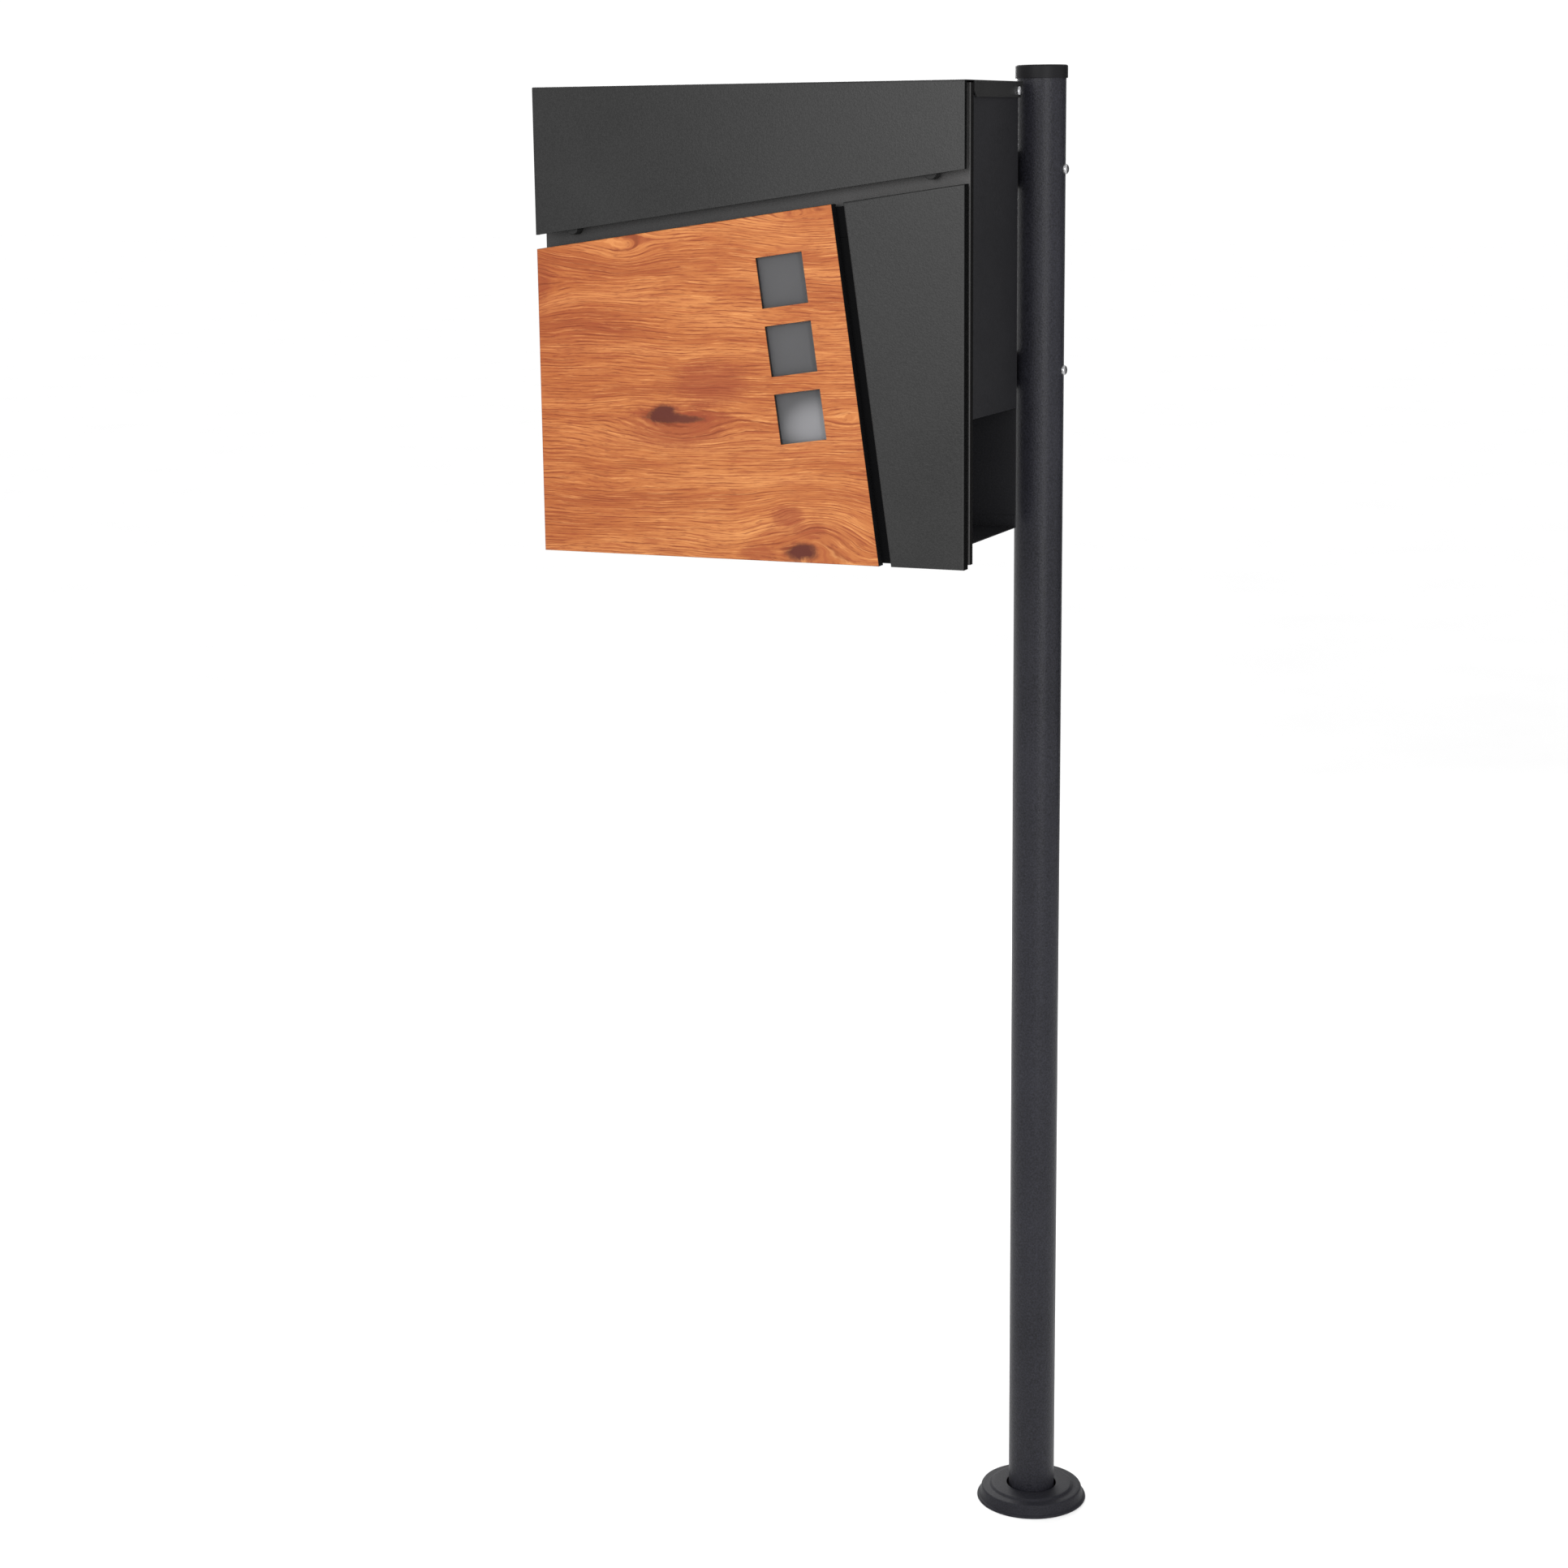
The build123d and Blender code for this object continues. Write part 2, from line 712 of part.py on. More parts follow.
with BuildPart() as door_plate:
    plate_outline = [
        (door_plate_inset, door_plate_inset),
        (box_width - door_plate_inset, door_plate_inset),
        (box_width - door_plate_inset, panel_edge(box_width) - 2 * door_plate_inset),
        (door_plate_inset, panel_edge(0) - door_plate_inset),
    ]
    plate(front(panel_depth), plate_outline, -sheet)
    cut_windows(panel_depth, window_size + 2 * window_sight_gap, sheet)
    drill(front(panel_depth), stud_places, small_screw_radius + screw_clearance, sheet)
    drill(front(panel_depth), door_rivet_places + keeper_rivet_places, rivet_radius, sheet)
finish("door_plate", door_plate.part)

with BuildPart() as panel_studs:
    with BuildSketch(front(sheet)):
        with Locations(stud_places):
            Circle(small_screw_radius)
    extrude(amount=-stud_length)
finish("panel_studs", panel_studs.part)

with BuildPart() as panel_nuts:
    with Locations(*[facing_back(u, door_back, w) for u, w in stud_places]):
        bore = small_screw_radius + thread_clearance
        add(hex_nut(small_nut_size, small_nut_thickness, bore, small_nut_flange))
finish("panel_nuts", panel_nuts.part)

# ---------------------------------------------------------------- door hinges
knuckle_length = (hinge_length - 2 * knuckle_gap) / 3
knuckle_pitch = knuckle_length + knuckle_gap
leaf_notch = hinge_side + knuckle_radius + 0.4


def knuckles(bottoms):
    """Hinge barrels standing on the given levels, around the door's axis."""
    for bottom in bottoms:
        with BuildSketch(level(bottom)) as ring:
            with Locations((hinge_side, hinge_v)):
                Circle(knuckle_radius)
        extrude(ring.sketch, amount=knuckle_length)


def bore_knuckles(low):
    """Bore for the hinge pin through one hinge."""
    with BuildSketch(level(low)) as bore:
        with Locations((hinge_side, hinge_v)):
            Circle(hinge_pin_radius + hinge_pin_clearance)
    extrude(bore.sketch, amount=hinge_length, mode=Mode.SUBTRACT)


with BuildPart() as hinge_frame_leaves:
    for middle in hinge_heights:
        low = middle - hinge_length / 2
        leaf = front(frame_front - sheet)
        block(leaf, (hinge_side, low), (hinge_side + hinge_leaf_width, low + hinge_length), -sheet)
        door_gap_low = low + knuckle_length
        door_gap_high = door_gap_low + knuckle_length + 2 * knuckle_gap
        block(leaf, (0, door_gap_low), (leaf_notch, door_gap_high), -sheet, Mode.SUBTRACT)
        knuckles((low, low + 2 * knuckle_pitch))
        bore_knuckles(low)
    drill(front(frame_front - sheet), hinge_rivet_places, rivet_radius, sheet)
finish("hinge_frame_leaves", hinge_frame_leaves.part)

with BuildPart() as hinge_door_leaves:
    for middle in hinge_heights:
        low = middle - hinge_length / 2
        leaf = front(door_back)
        leaf_end = hinge_side + 1.8 * hinge_leaf_width
        block(leaf, (hinge_side, low), (leaf_end, low + hinge_length), -sheet)
        for gap_low in (low, low + 2 * knuckle_pitch - knuckle_gap):
            gap_high = gap_low + knuckle_length + knuckle_gap
            block(leaf, (0, gap_low), (leaf_notch, gap_high), -sheet, Mode.SUBTRACT)
        knuckles((low + knuckle_pitch,))
        bore_knuckles(low)
    drill(front(door_back), door_rivet_places, rivet_radius, sheet)
finish("hinge_door_leaves", hinge_door_leaves.part)

with BuildPart() as hinge_pins:
    pin_overrun = 1.0
    for middle in hinge_heights:
        with BuildSketch(level(middle - hinge_length / 2 - pin_overrun)):
            with Locations((hinge_side, hinge_v)):
                Circle(hinge_pin_radius)
        extrude(amount=hinge_length + 2 * pin_overrun)
finish("hinge_pins", hinge_pins.part)

with BuildPart() as hinge_frame_rivets:
    with Locations(*[facing_front(u, frame_front - sheet, w) for u, w in hinge_rivet_places]):
        add(rivet(2 * sheet))
finish("hinge_frame_rivets", hinge_frame_rivets.part)

with BuildPart() as hinge_door_rivets:
    with Locations(*[facing_front(u, panel_depth, w) for u, w in door_rivet_places]):
        add(rivet(2 * sheet))
finish("hinge_door_rivets", hinge_door_rivets.part)

# ================================================================ lock
lock_front = frame_front - lock_rim
lock_back = frame_front + lock_body_length
cam_gap = 0.2
cam_fit = 0.1
cam_front = lock_back + cam_gap
cam_back = cam_front + cam_thickness
key_slot = (1.6, 8.0)
key_depth = 9.0
cam_screw_radius = 1.9
cam_screw_depth = 2.0

with BuildPart() as lock_housing:
    with BuildSketch(front(lock_front)):
        with Locations((lock_u, lock_w)):
            Circle(lock_rim_radius)
    extrude(amount=-lock_rim)
    fillet(lock_housing.edges().group_by(Axis.Y)[0], 0.8)
    with BuildSketch(front(frame_front)) as body:
        lock_outline(0)
    extrude(body.sketch, amount=-lock_body_length)
    drill(front(lock_front), [(lock_u, lock_w)], plug_radius + plug_clearance, lock_rim + lock_body_length)
finish("lock_housing", lock_housing.part)

with BuildPart() as lock_nut:
    with Locations(facing_back(lock_u, frame_back, lock_w)):
        add(hex_nut(lock_nut_size, lock_nut_thickness, lock_body_radius + thread_clearance))
finish("lock_nut", lock_nut.part)

with BuildPart() as lock_plug:
    with BuildSketch(front(lock_front)):
        with Locations((lock_u, lock_w)):
            Circle(plug_radius)
    extrude(amount=-(lock_rim + lock_body_length))
    with BuildSketch(front(lock_back)):
        with Locations((lock_u, lock_w)):
            Rectangle(cam_drive, cam_drive)
    extrude(amount=-(cam_gap + cam_thickness - cam_fit))
    with BuildSketch(front(lock_front)):
        with Locations((lock_u, lock_w)):
            Rectangle(*key_slot)
    extrude(amount=-key_depth, mode=Mode.SUBTRACT)
    with BuildSketch(front(lock_back - cam_screw_depth)):
        with Locations((lock_u, lock_w)):
            Circle(cam_screw_radius + plug_clearance)
    extrude(amount=-(cam_gap + cam_thickness + cam_screw_depth), mode=Mode.SUBTRACT)
finish("lock_plug", lock_plug.part)

with BuildPart() as lock_cam:
    with BuildSketch(front(cam_front)):
        with Locations((lock_u, lock_w)):
            Circle(cam_width * 0.6)
        with Locations((lock_u + (cam_length - cam_width / 2) / 2, lock_w)):
            Rectangle(cam_length - cam_width / 2, cam_width)
        with Locations((lock_u + cam_length - cam_width / 2, lock_w)):
            Circle(cam_width / 2)
        with Locations((lock_u, lock_w)):
            Rectangle(cam_drive + cam_fit, cam_drive + cam_fit, mode=Mode.SUBTRACT)
    extrude(amount=-cam_thickness)
finish("lock_cam", lock_cam.part)

with BuildPart() as cam_screw:
    with Locations(facing_back(lock_u, cam_back, lock_w)):
        add(pan_screw(cam_screw_radius, cam_thickness + 0.75 * cam_screw_depth, 5.2, 2.0))
finish("cam_screw", cam_screw.part)

with BuildPart() as lock_keeper:
    keeper_tip_front = cam_back + keeper_gap
    keeper_low_u = lock_u - keeper_width / 2
    foot_low = keeper_foot_w - keeper_foot
    tip_top = opening_edge(keeper_low_u) - keeper_tip_drop
    profile = [
        (door_back, foot_low),
        (door_back + keeper_thickness, foot_low),
        (door_back + keeper_thickness, keeper_foot_w - keeper_thickness),
        (keeper_tip_front + keeper_thickness, keeper_foot_w - keeper_thickness),
        (keeper_tip_front + keeper_thickness, tip_top),
        (keeper_tip_front, tip_top),
        (keeper_tip_front, keeper_foot_w),
        (door_back, keeper_foot_w),
    ]
    plate(side(keeper_low_u), profile, keeper_width)
    drill(front(door_back), keeper_rivet_places, rivet_radius, keeper_thickness)
finish("lock_keeper", lock_keeper.part)

with BuildPart() as keeper_rivets:
    with Locations(*[facing_front(u, panel_depth, w) for u, w in keeper_rivet_places]):
        add(rivet(sheet + keeper_thickness))
finish("keeper_rivets", keeper_rivets.part)

# ================================================================ lid
roof_under = box_height - sheet
flange_front = frame_front + frame_return + frame_gap
flange_back = box_depth + lid_flange_overhang
flange_low = box_height - lid_flange
bush_radius = pivot_screw_radius + snug_clearance + bush_wall
lid_hole_radius = bush_radius + bush_clearance

with BuildPart() as lid:
    flap_outline = [
        (0, flap_edge(0)),
        (box_width, flap_edge(box_width)),
        (box_width, box_height),
        (0, box_height),
    ]
    plate(front(0), flap_outline, -sheet)
    block(level(roof_under), (0, 0), (box_width, box_depth + lid_overhang), sheet)
    fold = lid.edges().filter_by(Axis.X).group_by(Axis.Y)[0].sort_by(Axis.Z)[-1]
    fillet(fold, bend_radius)
    hem_outline = [
        (0, flap_edge(0)),
        (box_width, flap_edge(box_width)),
        (box_width, flap_edge(box_width) + sheet),
        (0, flap_edge(0) + sheet),
    ]
    plate(front(sheet), hem_outline, -(flap_hem - sheet))
    block(front(sheet), (0, flap_edge(0)), (sheet, roof_under), -(flap_hem - sheet))
    right_low = (box_width - sheet, flap_edge(box_width))
    block(front(sheet), right_low, (box_width, roof_under), -(flap_hem - sheet))
    for flange_u in (0, box_width - sheet):
        with BuildSketch(side(flange_u)) as flange:
            with BuildLine():
                Polyline(
                    (flange_front, box_height),
                    (flange_front, flange_low + 5.0),
                    (flange_front + 5.0, flange_low),
                    (flange_back - 3.0, flange_low),
                    (flange_back, flange_low + 3.0),
                    (flange_back, box_height - lid_overhang / 2),
                    (box_depth + lid_overhang, box_height),
                    close=True,
                )
            make_face()
        extrude(flange.sketch, amount=sheet)
    with BuildSketch(side(0)) as bores:
        with Locations((pivot_v, pivot_w)):
            Circle(lid_hole_radius)
    extrude(bores.sketch, amount=box_width, mode=Mode.SUBTRACT)
finish("lid", lid.part)


def pivot_seat(right, distance):
    """Plane on the pivot axis, facing out of the box, a distance outside its side."""
    u = box_width + distance if right else -distance
    out = 1 if right else -1
    return Plane(origin=at(u, pivot_v, pivot_w), x_dir=(0, 1, 0), z_dir=(out, 0, 0))


sides = (False, True)
pivot_head_gap = 0.1
bush_rim = wall_inset - sheet - pivot_head_gap

with BuildPart() as lid_pivot_screws:
    grip = wall_inset + sheet + small_nut_thickness + thread_overrun
    with Locations(*[pivot_seat(right, pivot_head_gap) for right in sides]):
        add(pan_screw(pivot_screw_radius, grip, small_head_radius, small_head_height))
finish("lid_pivot_screws", lid_pivot_screws.part)

with BuildPart() as lid_pivot_bushes:
    for right in sides:
        with BuildSketch(pivot_seat(right, -wall_inset)):
            Circle(bush_rim_radius)
        extrude(amount=bush_rim)
        with BuildSketch(pivot_seat(right, -wall_inset)):
            Circle(bush_radius)
        extrude(amount=wall_inset + pivot_head_gap / 2)
        with BuildSketch(pivot_seat(right, -wall_inset)):
            Circle(pivot_screw_radius + snug_clearance)
        extrude(amount=wall_inset + pivot_head_gap, mode=Mode.SUBTRACT)
finish("lid_pivot_bushes", lid_pivot_bushes.part)

with BuildPart() as lid_pivot_nuts:
    for right in sides:
        nut_seat = pivot_seat(right, -(wall_inset + sheet + small_nut_thickness))
        with Locations(nut_seat):
            add(hex_nut(small_nut_size, small_nut_thickness, pivot_screw_radius + thread_clearance))
finish("lid_pivot_nuts", lid_pivot_nuts.part)

# ================================================================ export
os.makedirs("parts", exist_ok=True)
for shape in finished:
    export_step(shape, f"parts/{shape.label}.step")
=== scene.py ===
import json
import math

import bpy
from mathutils import Matrix, Vector


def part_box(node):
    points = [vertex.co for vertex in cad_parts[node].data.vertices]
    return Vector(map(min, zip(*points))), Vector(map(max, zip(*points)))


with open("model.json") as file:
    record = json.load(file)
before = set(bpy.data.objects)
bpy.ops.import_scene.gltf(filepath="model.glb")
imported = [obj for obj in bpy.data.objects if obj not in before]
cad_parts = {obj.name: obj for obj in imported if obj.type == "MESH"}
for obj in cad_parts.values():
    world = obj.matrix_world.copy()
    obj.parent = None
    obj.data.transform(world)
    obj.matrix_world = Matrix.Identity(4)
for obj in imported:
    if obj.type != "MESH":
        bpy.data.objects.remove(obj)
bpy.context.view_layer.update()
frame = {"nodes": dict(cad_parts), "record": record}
nodes = frame["nodes"]

# ---------------------------------------------------------------- places on the part
panel_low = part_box("wood_panel")[0]
lid_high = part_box("lid")[1]
box_left = panel_low.x
box_right = lid_high.x
face_y = panel_low.y
box_bottom = panel_low.z

# The outer right edges of the frame and flap lie in deep shade; they are painted darker as painted shade, as
# far back as the cabinet's wall.
painted_shade_skin = 0.0012
painted_shade_depth = 0.022
painted_shade_tone = 0.18
painted_shade_level = 0.03
# The printed film covers only this thickness at the front of the wood panel.
film_thickness = 0.0008


# ---------------------------------------------------------------- shader helpers
class Shader:
    """A material's node graph, built a line at a time."""

    def __init__(self, name):
        self.material = bpy.data.materials.new(name)
        self.material.use_nodes = True
        self.tree = self.material.node_tree
        self.tree.nodes.clear()
        self.out = self.tree.nodes.new("ShaderNodeOutputMaterial")
        self.bsdf = self.tree.nodes.new("ShaderNodeBsdfPrincipled")
        self.join(self.bsdf.outputs[0], self.out.inputs[0])
        self.place = self.tree.nodes.new("ShaderNodeTexCoord").outputs["Object"]

    def join(self, source, target):
        """Links a source socket to a target, or sets the target to a value."""
        if isinstance(source, bpy.types.NodeSocket):
            self.tree.links.new(source, target)
        else:
            target.default_value = source

    def math(self, operation, a, b=0.0, c=0.0, clamp=False):
        """One math node's result."""
        node = self.tree.nodes.new("ShaderNodeMath")
        node.operation = operation
        node.use_clamp = clamp
        for value, socket in zip((a, b, c), node.inputs):
            self.join(value, socket)
        return node.outputs[0]

    def smooth(self, value, low, high, to_low=0.0, to_high=1.0):
        """The value mapped smoothly from one range to another."""
        node = self.tree.nodes.new("ShaderNodeMapRange")
        node.interpolation_type = "SMOOTHSTEP"
        for source, socket in zip((value, low, high, to_low, to_high), node.inputs):
            self.join(source, socket)
        return node.outputs[0]

    def split(self, vector):
        """A vector's three components."""
        node = self.tree.nodes.new("ShaderNodeSeparateXYZ")
        self.join(vector, node.inputs[0])
        return node.outputs[0], node.outputs[1], node.outputs[2]

    def vector(self, x, y, z):
        """A vector from three components."""
        node = self.tree.nodes.new("ShaderNodeCombineXYZ")
        for value, socket in zip((x, y, z), node.inputs):
            self.join(value, socket)
        return node.outputs[0]

    def scaled(self, vector, factors):
        """A vector multiplied component by component."""
        node = self.tree.nodes.new("ShaderNodeVectorMath")
        node.operation = "MULTIPLY"
        self.join(vector, node.inputs[0])
        self.join(factors, node.inputs[1])
        return node.outputs[0]

    def noise(self, vector, scale, detail=2.0, rough=0.5, distort=0.0):
        """Noise between 0 and 1."""
        node = self.tree.nodes.new("ShaderNodeTexNoise")
        self.join(vector, node.inputs["Vector"])
        self.join(scale, node.inputs["Scale"])
        self.join(detail, node.inputs["Detail"])
        self.join(rough, node.inputs["Roughness"])
        self.join(distort, node.inputs["Distortion"])
        return node.outputs[0]

    def oval(self, u, w, centre_u, centre_w, length, height):
        """Squared distance from a centre, counted in half-lengths and half-heights."""
        du = self.math("DIVIDE", self.math("SUBTRACT", u, centre_u), length)
        dw = self.math("DIVIDE", self.math("SUBTRACT", w, centre_w), height)
        return self.math("ADD", self.math("MULTIPLY", du, du), self.math("MULTIPLY", dw, dw))

    def ramp(self, value, stops):
        """Colour for a value, from a list of (place, colour) stops."""
        node = self.tree.nodes.new("ShaderNodeValToRGB")
        elements = node.color_ramp.elements
        while len(elements) < len(stops):
            elements.new(0.5)
        for element, (place, colour) in zip(elements, stops):
            element.position = place
            element.color = (*colour, 1.0)
        self.join(value, node.inputs[0])
        return node.outputs[0]

    def mix(self, factor, a, b, blend="MIX"):
        """Two colours mixed."""
        node = self.tree.nodes.new("ShaderNodeMix")
        node.data_type = "RGBA"
        node.blend_type = blend
        self.join(factor, node.inputs[0])
        for colour, socket in zip((a, b), (node.inputs[6], node.inputs[7])):
            self.join((*colour, 1.0) if isinstance(colour, tuple) else colour, socket)
        return node.outputs[2]

    def bump(self, height, strength, distance):
        """Bump from a height, set as the surface's normal."""
        node = self.tree.nodes.new("ShaderNodeBump")
        self.join(strength, node.inputs["Strength"])
        self.join(distance, node.inputs["Distance"])
        self.join(height, node.inputs["Height"])
        self.join(node.outputs[0], self.bsdf.inputs["Normal"])

    def set(self, **values):
        """Sets the surface shader's inputs; an underscore stands for a space."""
        for name, value in values.items():
            self.join(value, self.bsdf.inputs[name.replace("_", " ")])


def shade(colour, factor):
    """A colour made lighter or darker."""
    return tuple(channel * factor for channel in colour)


def powder_coat(name, colour, rough, grain, depth, level, speckle=0.2, dark_returns=False):
    """Powder-coated steel: a fine even grain with a little variation in tone and sheen.

    Level is the specular level. The returns option paints the outer right edges of the frame and flap darker
    and duller, as painted shade.
    """
    fine_share = 0.7
    cloud_scale = 9.0
    rough_spread = 0.03
    bump_distance = 0.0003
    s = Shader(name)
    fine = s.noise(s.place, grain, 2.0, 0.6)
    broad = s.noise(s.place, cloud_scale, 3.0, 0.5)
    tone = s.math("ADD", s.math("MULTIPLY", fine, fine_share), s.math("MULTIPLY", broad, 1.0 - fine_share))
    paint = s.ramp(tone, [(0.3, shade(colour, 1.0 - speckle)), (0.7, shade(colour, 1.02 + speckle))])
    sheen = level
    if dark_returns:
        x, y, _ = s.split(s.place)
        outer = s.smooth(x, box_right - painted_shade_skin, box_right - painted_shade_skin + 0.0005)
        behind_face = s.smooth(y, face_y + 0.0004, face_y + 0.0012)
        before_wall = s.smooth(y, face_y + painted_shade_depth + 0.0001, face_y + painted_shade_depth - 0.0001)
        painted_shade_mask = s.math("MULTIPLY", outer, s.math("MULTIPLY", behind_face, before_wall))
        # Painted shade: the outer right returns get a darker, duller paint.
        paint = s.mix(painted_shade_mask, paint, shade(colour, painted_shade_tone))
        sheen = s.smooth(painted_shade_mask, 0.0, 1.0, level, painted_shade_level)
    s.set(Base_Color=paint)
    s.set(Roughness=s.smooth(broad, 0.3, 0.7, rough - rough_spread, rough + rough_spread))
    s.set(Specular_IOR_Level=sheen)
    coarse = s.noise(s.place, grain * 0.3, 2.0)
    s.bump(s.math("ADD", fine, s.math("MULTIPLY", coarse, 0.5)), depth, bump_distance)
    return s.material


def worked_metal(name, colour, rough, streak):
    """Bare or plated metal with fine directional marks."""
    mark_scale = 60.0
    cloud_scale = 220.0
    bump_distance = 0.0001
    s = Shader(name)
    marks = s.noise(s.scaled(s.place, streak), mark_scale, 4.0, 0.6)
    cloud = s.noise(s.place, cloud_scale, 3.0, 0.6)
    s.set(Base_Color=s.ramp(cloud, [(0.3, shade(colour, 0.82)), (0.7, colour)]))
    s.set(Roughness=s.smooth(marks, 0.3, 0.7, rough * 0.8, rough * 1.3), Metallic=1.0)
    s.bump(marks, 0.08, bump_distance)
    return s.material


def moulded(name, colour, rough, depth, level=0.35):
    """Moulded plastic or rubber with a fine matt grain."""
    grain_scale = 1800.0
    rough_spread = 0.06
    bump_distance = 0.0002
    s = Shader(name)
    grain = s.noise(s.place, grain_scale, 3.0, 0.6)
    s.set(Base_Color=s.ramp(grain, [(0.3, shade(colour, 0.75)), (0.7, shade(colour, 1.2))]))
    s.set(Roughness=s.smooth(grain, 0.3, 0.7, rough - rough_spread, rough + rough_spread))
    s.set(Specular_IOR_Level=level)
    s.bump(grain, depth, bump_distance)
    return s.material


# ---------------------------------------------------------------- wood film
def wood_film(edge_painted_shade):
    """Wood-grain film on the panel's face: lines that flow around a few knots. The returns and cut edges
    behind the film get a near-black colour as painted shade.

    u runs to the right from the box's left side and w runs up from its bottom.
    """
    heart_brown = (0.085, 0.020, 0.013)
    smudge_brown = (0.22, 0.044, 0.018)
    line_brown = (0.17, 0.034, 0.012)
    streak_brown = (0.25, 0.054, 0.020)
    streak_light = (0.62, 0.280, 0.098)
    pore_brown = (0.19, 0.042, 0.018)
    left_painted_shade = (0.93, 0.85, 0.83)
    top_painted_shade = (0.99, 0.97, 0.96)
    grain_drift = 0.028
    grain_jitter = 0.0010
    line_frequency = 2500.0
    line_spread = 20.0
    least_heart = 0.7
    s = Shader("wood_film")
    x, y, z = s.split(s.place)
    u = s.math("SUBTRACT", x, box_left)
    w = s.math("SUBTRACT", z, box_bottom)
    # (u, w, half-length, half-height, how far the grain is pushed aside)
    eyes = [
        (0.120, 0.112, 0.055, 0.018, 0.95),
        (0.245, 0.006, 0.052, 0.034, 1.15),
        (0.222, 0.036, 0.014, 0.009, 0.7),
        (0.080, 0.253, 0.026, 0.014, 1.15),
        (0.226, 0.280, 0.045, 0.014, 1.2),
        (-0.014, 0.222, 0.030, 0.026, 1.0),
        (0.276, 0.118, 0.024, 0.008, 0.95),
        (0.040, 0.060, 0.060, 0.010, 0.6),
    ]
    wander = s.noise(s.vector(s.math("MULTIPLY", u, 5.0), 0.0, s.math("MULTIPLY", w, 14.0)), 1.0, 3.0, 0.45)
    flow = s.math("ADD", w, s.math("MULTIPLY", wander, grain_drift))
    for eye_u, eye_w, length, height, push in eyes:
        square = s.oval(u, w, eye_u, eye_w, length, height)
        near = s.math("EXPONENT", s.math("MULTIPLY", square, -1.0))
        aside = s.math("MULTIPLY", s.math("SUBTRACT", w, eye_w), near)
        flow = s.math("SUBTRACT", flow, s.math("MULTIPLY", aside, push))
    jitter_spot = s.vector(s.math("MULTIPLY", u, 80.0), 0.0, s.math("MULTIPLY", flow, 260.0))
    jitter = s.noise(jitter_spot, 1.0, 2.0, 0.6)
    flow = s.math("ADD", flow, s.math("MULTIPLY", jitter, grain_jitter))

    def along(length_scale, height_scale, seed, detail, rough):
        """Noise drawn out along the grain."""
        spot = s.vector(s.math("MULTIPLY", u, length_scale), seed, s.math("MULTIPLY", flow, height_scale))
        return s.noise(spot, 1.0, detail, rough)

    bands = along(4.0, 42.0, 1.0, 3.0, 0.6)
    spread = along(5.0, 60.0, 2.0, 3.0, 0.6)
    phase = s.math("ADD", s.math("MULTIPLY", flow, line_frequency), s.math("MULTIPLY", spread, line_spread))
    growth = s.math("POWER", s.math("ABSOLUTE", s.math("SINE", s.math("MULTIPLY", phase, 0.5))), 2.4)
    presence = along(30.0, 420.0, 3.0, 3.0, 0.65)
    streaks = along(24.0, 700.0, 4.0, 3.0, 0.7)
    pores = along(90.0, 1150.0, 5.0, 2.0, 0.6)
    base = s.ramp(
        bands,
        [
            (0.34, (0.290, 0.080, 0.024)),
            (0.46, (0.362, 0.116, 0.034)),
            (0.56, (0.420, 0.152, 0.047)),
            (0.68, (0.480, 0.190, 0.063)),
        ],
    )
    # (u, w, half-length, half-height, strength) of the knots' dark hearts and the smudges around them
    hearts = [
        (0.1125, 0.1155, 0.0115, 0.0075, 1.0),
        (0.119, 0.1125, 0.022, 0.0034, 0.95),
        (0.1115, 0.1165, 0.0065, 0.0042, 1.0),
        (0.148, 0.1150, 0.022, 0.0038, 0.65),
        (0.122, 0.107, 0.036, 0.016, 0.62),
        (0.154, 0.141, 0.026, 0.016, 0.62),
        (0.2315, 0.0085, 0.0125, 0.0065, 1.0),
        (0.2325, 0.0090, 0.0070, 0.0040, 1.0),
        (0.236, 0.016, 0.036, 0.016, 0.3),
        (0.220, 0.0375, 0.012, 0.007, 0.65),
        (0.240, 0.0260, 0.012, 0.005, 0.45),
        (0.193, 0.006, 0.014, 0.006, 0.55),
        (-0.004, 0.221, 0.014, 0.016, 0.6),
        (0.112, 0.003, 0.014, 0.003, 0.4),
        (0.020, 0.180, 0.060, 0.022, 0.22),
        (0.205, 0.098, 0.070, 0.016, 0.15),
    ]
    wobble = s.math("MULTIPLY", s.math("SUBTRACT", s.noise(s.place, 110.0, 4.0, 0.6), 0.5), 2.0)
    torn = s.math("MULTIPLY", s.math("SUBTRACT", streaks, 0.5), 2.0)
    covered = 0.0
    for heart_u, heart_w, length, height, strength in hearts:
        square = s.oval(u, w, heart_u, heart_w, length, height)
        reach = s.math("ADD", s.math("SUBTRACT", square, torn), wobble)
        dark = s.math("MULTIPLY", s.smooth(reach, 2.3, 0.4), strength)
        base = s.mix(dark, base, heart_brown if strength > least_heart else smudge_brown, "DARKEN")
        covered = s.math("MAXIMUM", covered, dark)
    plain = s.math("SUBTRACT", 1.0, covered)
    line = s.math("MULTIPLY", s.smooth(growth, 0.55, 0.98), s.smooth(presence, 0.40, 0.60, 0.0, 0.85))
    base = s.mix(line, base, line_brown, "DARKEN")
    base = s.mix(s.smooth(streaks, 0.51, 0.63, 0.0, 0.6), base, streak_brown, "DARKEN")
    light = s.math("MULTIPLY", s.smooth(streaks, 0.47, 0.33, 0.0, 0.55), plain)
    base = s.mix(light, base, streak_light)
    base = s.mix(s.smooth(pores, 0.55, 0.70, 0.0, 0.65), base, pore_brown, "DARKEN")
    # Painted shade: the film is darker and redder towards the left and a little darker towards the top.
    base = s.mix(s.smooth(u, 0.16, -0.01), base, left_painted_shade, "MULTIPLY")
    base = s.mix(s.smooth(w, 0.05, 0.22), base, top_painted_shade, "MULTIPLY")
